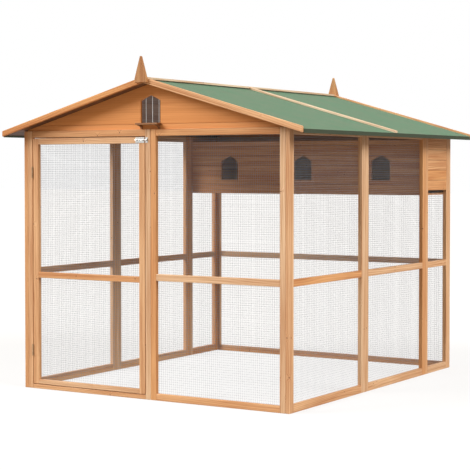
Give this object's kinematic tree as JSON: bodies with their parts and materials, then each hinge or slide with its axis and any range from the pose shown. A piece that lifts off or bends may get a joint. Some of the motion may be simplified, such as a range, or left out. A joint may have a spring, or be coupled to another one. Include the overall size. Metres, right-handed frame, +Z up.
{
  "type": "pigeon loft",
  "caption": "Walk-in pigeon loft with wire-mesh walls, a hinged door, raised nest boxes, a bobbed pigeon entry in the gable and a felted gable roof.",
  "frame": {"origin": "middle of the footprint, at ground level", "axes": "+Z up, -Y towards the front with the door and the pigeon entry, +X to the right seen from the front"},
  "size_m": [1.9376, 2.1892, 1.8315],
  "materials": {
    "framing": "planed softwood with a honey-brown stain",
    "boarding": "tongued and grooved softwood boards with a honey-brown stain",
    "nest_boards": "sawn softwood boards, unstained and darker inside",
    "pale_batten": "bare planed softwood",
    "roofing_felt": "green mineral felt, coarse and matt",
    "netting": "galvanised welded wire mesh",
    "zinc_fittings": "bright zinc plate"
  },
  "bodies": {
    "loft": {"back_cladding": "boarding", "back_frame": "framing", "back_gable": "boarding", "back_net": "netting", "bob_rod": "zinc_fittings", "bolt_keeper": "zinc_fittings", "door_frame": "framing", "front_finial": "framing", "front_gable": "boarding", "front_left_barge": "framing", "front_left_felt": "roofing_felt", "front_left_roof_deck": "boarding", "front_panel_frame": "framing", "front_panel_net": "netting", "front_right_barge": "framing", "front_right_felt": "roofing_felt", "front_right_roof_deck": "boarding", "landing_ledge": "framing", "left_front_frame": "framing", "left_front_net": "netting", "left_ledge_bracket": "framing", "left_middle_frame": "framing", "left_middle_net": "netting", "left_nest_cladding": "boarding", "left_nest_frame": "framing", "left_nest_net": "netting", "left_nest_partition": "nest_boards", "left_seam_batten": "pale_batten", "lower_hinge_frame_leaf": "zinc_fittings", "nest_floor": "nest_boards", "nest_front": "nest_boards", "nest_lid": "nest_boards", "rear_finial": "framing", "rear_left_barge": "framing", "rear_left_felt": "roofing_felt", "rear_left_roof_deck": "boarding", "rear_right_barge": "framing", "rear_right_felt": "roofing_felt", "rear_right_roof_deck": "boarding", "ridge_batten": "pale_batten", "right_front_frame": "framing", "right_front_net": "netting", "right_ledge_bracket": "framing", "right_middle_frame": "framing", "right_middle_net": "netting", "right_nest_cladding": "boarding", "right_nest_frame": "framing", "right_nest_net": "netting", "right_nest_partition": "nest_boards", "right_seam_batten": "pale_batten", "upper_hinge_frame_leaf": "zinc_fittings"},
    "door": {"bolt_guide": "zinc_fittings", "door_leaf": "framing", "door_net": "netting", "lower_hinge_door_leaf": "zinc_fittings", "upper_hinge_door_leaf": "zinc_fittings"},
    "bolt": {"slide_bolt": "zinc_fittings"},
    "bob_1": {"bob_wire_1": "zinc_fittings"},
    "bob_2": {"bob_wire_2": "zinc_fittings"},
    "bob_3": {"bob_wire_3": "zinc_fittings"}
  },
  "joints": [
    {"name": "door_hinge", "type": "hinge", "parent": "loft", "child": "door", "pos_m": [-0.8, -1.0158, 0.721], "axis": [0, 0, -1], "range_deg": [0, 180]},
    {"name": "bolt_slide", "type": "slide", "parent": "door", "child": "bolt", "axis": [1, 0, 0], "range_m": [0, 0.024]},
    {"name": "bob_1_swing", "type": "hinge", "parent": "loft", "child": "bob_1", "pos_m": [-0.042, -0.98, 1.6323], "axis": [1, 0, 0], "range_deg": [0, 80]},
    {"name": "bob_2_swing", "type": "hinge", "parent": "loft", "child": "bob_2", "pos_m": [0, -0.98, 1.6323], "axis": [1, 0, 0], "range_deg": [0, 80]},
    {"name": "bob_3_swing", "type": "hinge", "parent": "loft", "child": "bob_3", "pos_m": [0.042, -0.98, 1.6323], "axis": [1, 0, 0], "range_deg": [0, 80]}
  ]
}
